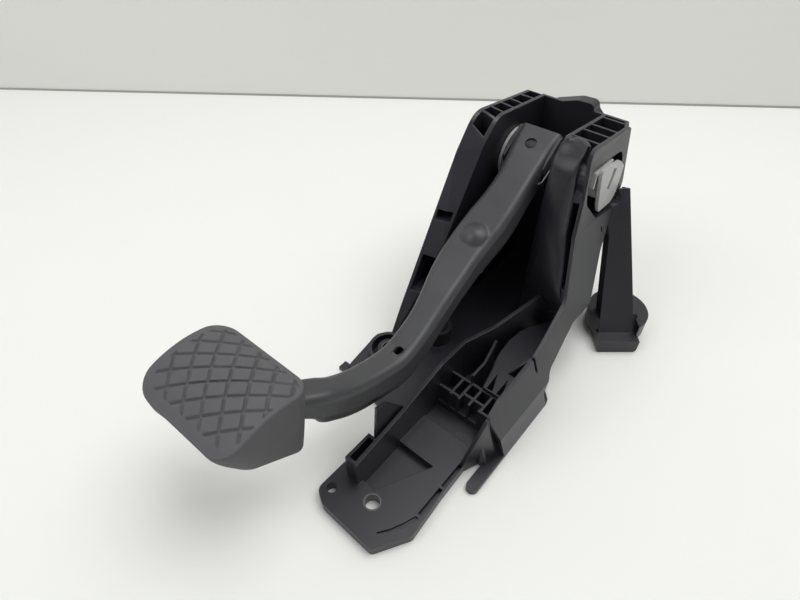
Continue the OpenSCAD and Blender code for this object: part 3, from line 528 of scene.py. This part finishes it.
# %% The curve through the stations
def spline(values, knots, at):
    """Smooth curve through values at knots: the cubic whose slopes are those of the
    neighbours' chord, blended by the four Hermite weights."""
    slope = np.gradient(values, knots, axis=0)
    i = np.clip(np.searchsorted(knots, at) - 1, 0, len(knots) - 2)
    h = (knots[i + 1] - knots[i])[:, None]
    t = ((at - knots[i])[:, None]) / h
    return ((2 * t ** 3 - 3 * t ** 2 + 1) * values[i] + (t ** 3 - 2 * t ** 2 + t) * h * slope[i]
            + (3 * t ** 2 - 2 * t ** 3) * values[i + 1] + (t ** 3 - t ** 2) * h * slope[i + 1])


STEP = np.r_[0, np.cumsum(np.linalg.norm(np.diff(STATIONS[:, :3], axis=0), axis=1))]
DENSE = np.linspace(0, STEP[-1], 900)
LINE = spline(STATIONS, STEP, DENSE)
ALONG = unit(np.gradient(LINE[:, :3], DENSE, axis=0))
ACROSS = unit(np.cross(ALONG, [0, 0, 1]))
OUT = np.cross(ACROSS, ALONG)


def at_station(table, s):
    """Rows of a table read at distances s along the arm, straight between the dense rows."""
    return np.stack([np.interp(s, DENSE, table[:, k]) for k in range(table.shape[1])], -1)


def along_arm(y):
    """Distance along the arm at which its front face passes this y."""
    return np.interp(y, LINE[:, 1], DENSE)


print(f"arm: {STEP[-1]:.0f} mm along its front face")

# %% The channel's section
ROUND = 5.0
FLANGE_SHARE = 0.62
FLANGE, ARC, WEB = 9, 8, 40
ZONE = np.r_[np.full(FLANGE, -2), np.full(ARC, -1), np.zeros(WEB + 1), np.full(ARC, 1), np.full(FLANGE, 2)]
PART = np.r_[np.linspace(1, 0, FLANGE, endpoint=False), np.linspace(1, 0, ARC, endpoint=False),
             np.zeros(WEB + 1), np.linspace(0, 1, ARC + 1)[1:], np.linspace(0, 1, FLANGE + 1)[1:]]
WEB_SHARE = np.r_[np.zeros(FLANGE + ARC), np.linspace(-1, 1, WEB + 1), np.zeros(FLANGE + ARC)]


def section(x, width, depth, thick):
    """Place across and out of the face, thick mm inside the outer skin. On the web the place
    across is x itself, on an arc it is the corner's centre plus the radius turned by part of
    90 degrees, and on a flange it is half the width."""
    half, r = width / 2 - thick, ROUND - thick
    side, turn = np.sign(ZONE), np.radians(90 * PART)
    web, arc = ZONE == 0, np.abs(ZONE) == 1
    web_x = x * (half - r) / (width / 2 - ROUND)
    arc_x = side * (half - r + r * np.sin(turn))
    arc_out = -thick - r + r * np.cos(turn)
    flange_out = -thick - r + (thick + r - depth * FLANGE_SHARE) * PART
    across = np.where(web, web_x, np.where(arc, arc_x, side * half))
    return across, np.where(web, -thick, np.where(arc, arc_out, flange_out))


# %% A round hole in a grid
HOLE_FADE = 4


def hole(s, x, s0, x0, radius, steps):
    """Pulls the grid into a circle round (s0, x0): the block of nodes within some steps of the
    middle goes onto rings of the circle, and the pull fades out over HOLE_FADE more steps.
    Also says which quads lie inside the circle."""
    i0 = np.argmin(np.abs(s[:, 0] - s0))
    j0 = np.argmin(np.abs(x[i0] - x0))
    i = np.arange(s.shape[0])[:, None] - i0
    j = np.arange(s.shape[1])[None, :] - j0
    ring = np.maximum(np.abs(i), np.abs(j)).astype(float)
    length = np.sqrt(i * i + j * j)
    length[ring == 0] = 1
    want_s = s0 + radius * ring / steps * i / length
    want_x = x0 + radius * ring / steps * j / length
    pull = 1 - smooth((ring - steps) / HOLE_FADE)
    near = ring <= steps
    inside = near[:-1, :-1] & near[1:, 1:] & near[:-1, 1:] & near[1:, :-1]
    return s * (1 - pull) + want_s * pull, x * (1 - pull) + want_x * pull, inside


# %% The dome over the push rod's ball
DOME_S, DOME_X, DOME_R, DOME_H = along_arm(145.0), 1.6, 9.5, 4.5
DOME_SOFT, DOME_FOOT = 9, 0.6


def dome(s, x, thick):
    """Cap on the web: height times (1 - q squared), softened where it meets the face. The
    inner skin's dome is a little smaller than the outer one's."""
    q = np.hypot(s - DOME_S, x - DOME_X) / (DOME_R - 0.6 * thick)
    cap = (1 - np.clip(q, 0, 1) ** 2) * smooth((1 - q) * DOME_SOFT + DOME_FOOT)
    return (DOME_H - 0.1 * thick) * np.where((q < 1) & (ZONE == 0), cap, 0)


# %% A pressing with thickness
def pressing(rows, narrower, holes, rear):
    """Outer and inner skins on one grid of distance s along the arm and place x across it. The
    front pressing carries the dome, and the rear one is the same section turned over."""
    s = np.repeat(rows[:, None], len(ZONE), axis=1)
    size = at_station(LINE[:, 3:], rows)
    width, depth = size[:, :1] - narrower, size[:, 1:]
    x = WEB_SHARE * (width / 2 - ROUND)
    keep = np.ones((len(rows) - 1, len(ZONE) - 1), bool)
    web = slice(FLANGE + ARC, FLANGE + ARC + WEB + 1)
    for place in holes:
        s[:, web], x[:, web], inside = hole(s[:, web], x[:, web], *place)
        keep[:, web.start:web.stop - 1] &= ~inside
    tables = LINE[:, :3], ACROSS, OUT
    centre, side, out = (at_station(table, s.ravel()).reshape(*s.shape, 3) for table in tables)
    skins = []
    for thick in (0.0, SHEET):
        across, up = section(x, width, depth, thick)
        up = -depth - up if rear else up + dome(s, x, thick)
        skins.append(centre + side * across[..., None] + out * up[..., None])
    return sheet_body(*skins, keep=keep, turned_over=rear)


# %% Front and rear pressings
UPPER_HOLE = (along_arm(210.5), -1.0, 4.0, 4)
LOWER_HOLE = (along_arm(58.6), 1.1, 3.1, 4)
REAR_HOLE = (DOME_S, DOME_X, 8.9, 12)
rows = np.unique(np.r_[np.arange(0, STEP[-1], 1.1), STEP[-1]])
front_channel = pressing(rows, 0.0, [UPPER_HOLE, LOWER_HOLE], rear=False)
piece("arm_front_skin", front_channel, "pedal", "arm_paint", ["arm_front_shell"], crease=40)
rows = rows[(rows >= STEP[2]) & (rows <= STEP[-4])]
rear_channel = pressing(rows, 2 * SHEET + 0.2, [REAR_HOLE], rear=True)
piece("arm_rear_skin", rear_channel, "pedal", "arm_paint", ["arm_rear_shell"], crease=40)

# %% [markdown]
# ## Ears and tail of the arm
#
# Where the arm meets the hub, its flanges widen into two round ears, and a short tail of the
# same sheet rests on the rubber buffer. Circles and polygons could be joined with Boolean
# modifiers, but those leave ragged edges. Each ear is a flat ring between the hub's bore and
# an outline, so it is worked out in polar form: for each direction the outline is the
# furthest of a circle and two straight-sided wings, and a short blur rounds its corners.

# %% Outline of an ear in polar form
EAR_POINTS, EAR_R = 360, 17.5
BACK_WING = [[-24, 10], [-4, 25], [9, 18], [14, 4], [-12, -12]]
TAIL_WING = [[6, 12], [31, -2], [31, -8], [8, -15]]
BLUR = np.exp(-np.linspace(-2, 2, 13) ** 2)


def wing(corners, turn):
    """Distance from the middle to the far side of a polygon in each direction: where the ray
    crosses a side, the cross product of the side's ends over that of the ray and the side."""
    p = np.asarray(corners, float)
    side = np.roll(p, -1, axis=0) - p
    ray = np.stack([np.cos(turn), np.sin(turn)], -1)[:, None]
    cross = ray[..., 0] * side[:, 1] - ray[..., 1] * side[:, 0]
    cross = np.where(np.abs(cross) < 1e-9, 1e-9, cross)
    far = (p[:, 0] * side[:, 1] - p[:, 1] * side[:, 0]) / cross
    share = (p[:, 0] * ray[..., 1] - p[:, 1] * ray[..., 0]) / cross
    return np.where((share >= 0) & (share <= 1) & (far > 0), far, 0).max(axis=1)


def ear(x0, x1):
    """A flat ring in the pivot's plane from x0 to x1, from the hub out to the outline."""
    turn = circle(EAR_POINTS)
    reach = np.maximum.reduce([np.full(EAR_POINTS, EAR_R), wing(BACK_WING, turn), wing(TAIL_WING, turn)])
    half = len(BLUR) // 2
    reach = np.convolve(np.r_[reach[-half:], reach, reach[:half]], BLUR / BLUR.sum(), "valid")
    hub = np.full(EAR_POINTS, HUB_R)
    radius = np.stack([hub, reach, reach, hub])
    x = np.repeat([[x1], [x1], [x0], [x0]], EAR_POINTS, axis=1)
    grid = np.stack([x, PIVOT[1] + radius * np.cos(turn), PIVOT[2] + radius * np.sin(turn)], -1)
    return ring_body(grid[::-1])


# %% Two ears and the tail between them
EAR_MID = -1.2
LEFT_EAR, RIGHT_EAR = EAR_MID - EAR_SPAN / 2, EAR_MID + EAR_SPAN / 2
TAIL_Y, TAIL_Z = (239, 243, 247, 251, 256), 111.5
piece("arm_ear_left", ear(LEFT_EAR, LEFT_EAR + SHEET), "pedal", "arm_paint", crease=35)
piece("arm_ear_right", ear(RIGHT_EAR - SHEET, RIGHT_EAR), "pedal", "arm_paint", crease=35)
y, x = np.meshgrid(TAIL_Y, np.linspace(LEFT_EAR + SHEET, RIGHT_EAR - SHEET, 9), indexing="ij")
top, under = (np.stack([x, y, np.full(x.shape, z)], -1) for z in (TAIL_Z + SHEET, TAIL_Z))
piece("arm_tail", sheet_body(top, under), "pedal", "arm_paint", crease=35)

# %% [markdown]
# ## The return spring
#
# A torsion spring of round wire lies round the hub between the arm's right ear and the cheek.
# One leg hooks into the ear and the other into the bracket's wall. A curve object with a bevel
# would draw it too, but a profile carried along a path gives the same mesh on every run.

# %% A round wire along a path
WIRE_R = 0.9


def wire(path):
    """Circle carried along a path. Its first axis is square to both the path and the line
    from the pivot, and its second is square to the path and that axis."""
    along = unit(np.gradient(path, axis=0))
    one = unit(np.cross(along, (path - PIVOT) * [0, 1, 1]))
    two = np.cross(one, along)
    turn = circle(14)[None, :, None]
    return path[:, None] + WIRE_R * (one[:, None] * np.cos(turn) + two[:, None] * np.sin(turn))


def leg(coil_end, sign, turn, length, tip_x, bend=3.0):
    """Straight leg off the coil, a rounded bend, and a hook along the pivot axis: the bend is
    the quadratic curve over the last 3 mm of the leg and the first 3 mm of the hook."""
    corner = coil_end + sign * length * np.array([0, math.sin(turn), -math.cos(turn)])
    tip = np.array([tip_x, corner[1], corner[2]])
    hook = abs(tip_x - corner[0])
    a = corner + (coil_end - corner) / length * bend
    b = corner + (tip - corner) / hook * min(bend, hook * 0.8)
    t = np.linspace(0, 1, 9)[:, None]
    curve = (1 - t) ** 2 * a + 2 * t * (1 - t) * corner + t ** 2 * b
    straight = coil_end + (a - coil_end) * np.linspace(0, 1, 26)[1:-1, None]
    return np.concatenate([straight, curve, [tip]])


# %% Coil and legs
COIL_R = HUB_R + WIRE_R + 0.2
COIL_X = RIGHT_EAR + 0.3 + WIRE_R
COIL_PITCH = 1.9
COIL_START, COIL_SWEEP = 120, 540
turn = np.radians(np.linspace(COIL_START, COIL_START - COIL_SWEEP, 220))
coil = np.stack([COIL_X + COIL_PITCH * (turn[0] - turn) / (2 * math.pi),
                 PIVOT[1] + COIL_R * np.cos(turn), PIVOT[2] + COIL_R * np.sin(turn)], -1)
ear_leg = leg(coil[0], -1, turn[0], 22, RIGHT_EAR - 3)
wall_leg = leg(coil[-1], 1, turn[-1], 30, BOX_HALF + WALL)
spring = wire(np.concatenate([ear_leg[::-1], coil, wall_leg]))
piece("spring_wire", stack_body(spring), "pedal", "spring_steel", ["return_spring"])

# %% [markdown]
# ## Turned plastic pieces
#
# The bushes and the push rod's retainer are injection-moulded plastic, round about one axis.
# A cylinder primitive would do for the plain part, but their rims are rounded. So a profile
# of radius against height is turned about the axis, and a corner of the profile is replaced
# by a short arc. The bush is a ring, and the retainer is a cup that is open below.

# %% Profiles and turning
def eased(profile, radius):
    """Profile whose inner corners become the quadratic curve over this much of each side."""
    p = np.asarray(profile, float)
    t = np.linspace(0, 1, 5)[:, None]
    runs = [p[:1]]
    for a, b, c in zip(p[:-2], p[1:-1], p[2:]):
        q = b + (a - b) * min(radius / np.linalg.norm(a - b), 0.45)
        r = b + (c - b) * min(radius / np.linalg.norm(c - b), 0.45)
        runs.append((1 - t) ** 2 * q + 2 * t * (1 - t) * b + t ** 2 * r)
    return np.concatenate(runs + [p[-1:]])


def turned(profile, centre, axis):
    """Point (radius, height) goes to centre + height * axis + radius * (u cos a + v sin a)."""
    u = np.roll(axis, 1)
    v = np.cross(axis, u)
    a = circle(96)[None, :, None]
    r, h = profile[:, :1, None], profile[:, 1:, None]
    return centre + h * axis + r * (u * np.cos(a) + v * np.sin(a))


# %% Two flanged bushes
BUSH_IN, BUSH_OUT, BUSH_FLANGE_R, BUSH_DEEP = 7.05, 9.5, 18.6, 12.0
BUSH = [[BUSH_IN, -BUSH_DEEP], [BUSH_OUT - 0.5, -BUSH_DEEP], [BUSH_OUT, 1 - BUSH_DEEP], [BUSH_OUT, 0],
        [BUSH_FLANGE_R, 0], [BUSH_FLANGE_R, FLANGE_T], [BUSH_IN, FLANGE_T]]
BUSH_LOOP = eased(BUSH + BUSH[:2], 0.5)[1:-1]
for name, side in (("bush_left", -1.0), ("bush_right", 1.0)):
    rings = turned(BUSH_LOOP, PIVOT + [side * HUB_HALF, 0, 0], np.array([side, 0, 0]))
    piece(name + "_turned", ring_body(rings), "pedal", "white_plastic", [name], crease=40)

# %% Retainer of the push rod
CUP_AT, CUP_R, CUP_IN = np.array([2.0, 145.0, 0.0]), 8.6, 6.5
CUP_TOP, CUP_FOOT = 92.0, 75.4
CUP = [[0.05, CUP_TOP], [CUP_R, CUP_TOP], [CUP_R, CUP_FOOT + 1.6], [CUP_R + 0.3, CUP_FOOT + 1.2],
       [CUP_R + 0.3, CUP_FOOT], [CUP_IN, CUP_FOOT], [CUP_IN, CUP_TOP - 2.1], [0.05, CUP_TOP - 2.1]]
cup = turned(eased(CUP, 0.6), CUP_AT, np.array([0, 0, 1]))
piece("clip_turned", stack_body(cup), "pedal", "white_plastic", ["pushrod_clip"], crease=40)

# %% [markdown]
# ## The column's moulded front
#
# The front of the right cheek is one flowing wall of the moulding: hollow towards the box at
# its foot, full at half height, and swept back into a lip at the top. The CAD model draws it
# with straight steps between heights. A Subdivision modifier on the whole bracket would melt
# its ribs, so only this wall gets a thin skin of its own, a grid whose rows follow one smooth
# curve over the height and whose edges roll back to the solid.

# %% The wall at each height: y at the box, forward bulge, y at the skin
COLUMN = np.array([
    [40, 191, 1, 176],
    [46, 191, 1, 173],
    [62.5, 191, 0, 165],
    [83.5, 191, 1, 177],
    [100, 191, 3, 187],
    [115.5, 191.6, 3.5, 190.6],
    [125.5, 192, 2.5, 191.8],
    [134.5, 192.2, 1, 191.8],
    [142.5, 193, -0.5, 191.8],
    [148.5, 197, -3, 193.5],
    [153, 203, -5, 197],
    [157, 206.2, -6.2, 199]])
COLUMN_TOP = 155.2
CHEEK_X = BOX_HALF + 24.0
SLOT_SIDE = WALL + 4.0 + 0.2
SKIN_Z, SKIN_X = (28, 100, 149.5, 167.5), CHEEK_X + np.array([33.5, 6, 0, -0.5])
PROUD, CUSHION, ROLL = 0.5, 1.3, 0.6


def column_skin():
    """Grid over height and share t across: y is the chord from y0 to y1 less 4 u (1 - u) times
    the bulge, then forward by PROUD and by CUSHION times 1 - |2t - 1| to the eighth. Its far
    side lies in the solid."""
    height = np.linspace(COLUMN[0, 0], COLUMN_TOP, 90)
    y0, bulge, y1 = spline(COLUMN[:, 1:], COLUMN[:, 0], height).T[:, :, None]
    t = np.linspace(0, 1, 49)[None, :]
    rim = np.abs(2 * t - 1)
    x0 = BOX_HALF + 0.4
    x1 = np.interp(height, SKIN_Z, SKIN_X)[:, None] - SLOT_SIDE
    u = t * (x1 - x0) / (x1 + SLOT_SIDE - WALL / 2 - x0)
    cushion = CUSHION * (1 - rim ** 8) * smooth((height[:, None] - height[0]) / 8)
    y = (1 - u) * y0 + u * y1 - 4 * u * (1 - u) * bulge - PROUD - cushion
    x = x0 + (x1 - x0) * t
    z = np.broadcast_to(height[:, None], x.shape)
    near = np.stack([x, y + ROLL * smooth(rim * 12 - 11), z], -1)
    return near, np.stack([x, y + cushion + CUSHION, z], -1)


piece("column_front", sheet_body(*column_skin()), "bracket", "bracket_nylon", crease=50)


# %% [markdown]
# ## The stage: table, wall, camera and light
#
# The pedal stands on a pale table before a slightly darker wall, seen from above and to the
# right through a short lens. A curved studio sweep would hide the join between them, but the
# photograph shows it as a thin grey line. One broad soft lamp hangs high behind the pedal, a
# smaller one stands in front on the left, and the white surroundings fill the shadows.

# %% Where the camera stands, and the line where table and wall meet
CAMERA_AT = np.array([0.110, -0.1053, 0.330])
CAMERA_TURN, CAMERA_TILT, EDGE_TURN = np.radians([40.0, 45.0, -3.0])
TABLE_REACH, TABLE_FRONT, HALF_WIDTH = 0.700, 1.5, 4.0
WALL_H, SHADE_STRIP_H, SHADE_STRIP_PROUD = 3.0, 0.0025, 0.0005
away = np.array([-math.sin(CAMERA_TURN), math.cos(CAMERA_TURN), 0.0])
aside = np.array([math.cos(CAMERA_TURN), math.sin(CAMERA_TURN), 0.0])
ground = CAMERA_AT * [1, 1, 0]
front = ground - away * TABLE_FRONT
back = ground + away * TABLE_REACH
half_edge = (aside * math.cos(EDGE_TURN) + away * math.sin(EDGE_TURN)) * HALF_WIDTH
print("table and wall meet at:", back.round(3))


# %% Table and wall
def stage_sheet(name, corners, colour, rough):
    """A flat sheet between four corners in metres, with a faint mottling."""
    mesh = bpy.data.meshes.new(name)
    mesh.from_pydata(corners, [], [(0, 1, 2, 3)])
    f = Finish(name, Specular_IOR_Level=0.2)
    mottle = f.noise(per_metre=9.0)
    colours = f.mix(mottle, (*colour, 1.0), (*(c * 0.985 for c in colour), 1.0))
    mesh.materials.append(f.set(Base_Color=colours, Roughness=rough + mottle * 0.05))
    sheet = bpy.data.objects.new(name, mesh)
    bpy.context.scene.collection.objects.link(sheet)
    print(f"{name}: colour {colour}")


def upright(foot, height):
    """Corners of a sheet that stands on the far edge of the table."""
    up = np.array([0.0, 0.0, height])
    return [foot - half_edge, foot + half_edge, foot + half_edge + up, foot - half_edge + up]


half_front = aside * HALF_WIDTH
stage_sheet("table", [front - half_front, front + half_front, back + half_edge, back - half_edge],
            (0.90, 0.905, 0.875), 0.7)
stage_sheet("wall", upright(back, WALL_H), (0.86, 0.86, 0.83), 0.8)
# Painted shade: a thin dark grey strip just in front of the wall stands in for the shade in the corner
# where table and wall meet.
stage_sheet("painted_corner_shade", upright(back - away * SHADE_STRIP_PROUD, SHADE_STRIP_H), (0.42, 0.42, 0.40), 0.8)

# %% Camera
FOCAL_PIXELS, FRAME_PIXELS, SENSOR = 560.0, 800.0, 36.0
camera_data = bpy.data.cameras.new("view")
camera_data.sensor_width = SENSOR
camera_data.lens = FOCAL_PIXELS / FRAME_PIXELS * SENSOR
camera_data.clip_start = 0.01
camera = bpy.data.objects.new("view", camera_data)
camera.location = CAMERA_AT
camera.rotation_euler = (CAMERA_TILT, 0.0, CAMERA_TURN)
bpy.context.scene.collection.objects.link(camera)
bpy.context.scene.camera = camera
print(f"lens: {camera_data.lens:.1f} mm")

# %% Lamps and surroundings
AIM = np.array([0.0, 0.1, 0.05])


def lamp(name, at, size, power):
    """A round soft lamp at a place in metres, turned towards the pedal."""
    data = bpy.data.lights.new(name, "AREA")
    data.shape = "DISK"
    data.size = size
    data.energy = power
    light = bpy.data.objects.new(name, data)
    bpy.context.scene.collection.objects.link(light)
    towards = unit(AIM - at)
    light.location = at
    light.rotation_euler = (math.acos(-towards[2]), 0.0, math.atan2(towards[1], towards[0]) - math.pi / 2)
    print(f"{name}: {power} W, {size} m across")


lamp("window", (0.2, 0.45, 1.35), 1.1, 12.0)
lamp("fill", (-0.6, -0.6, 1.0), 0.9, 4.2)
world = bpy.data.worlds.new("surroundings")
bpy.context.scene.world = world
world.use_nodes = True
background = world.node_tree.nodes["Background"]
background.inputs["Color"].default_value = (1.0, 1.0, 1.0, 1.0)
background.inputs["Strength"].default_value = 0.35
bpy.context.scene.view_settings.view_transform = "Standard"
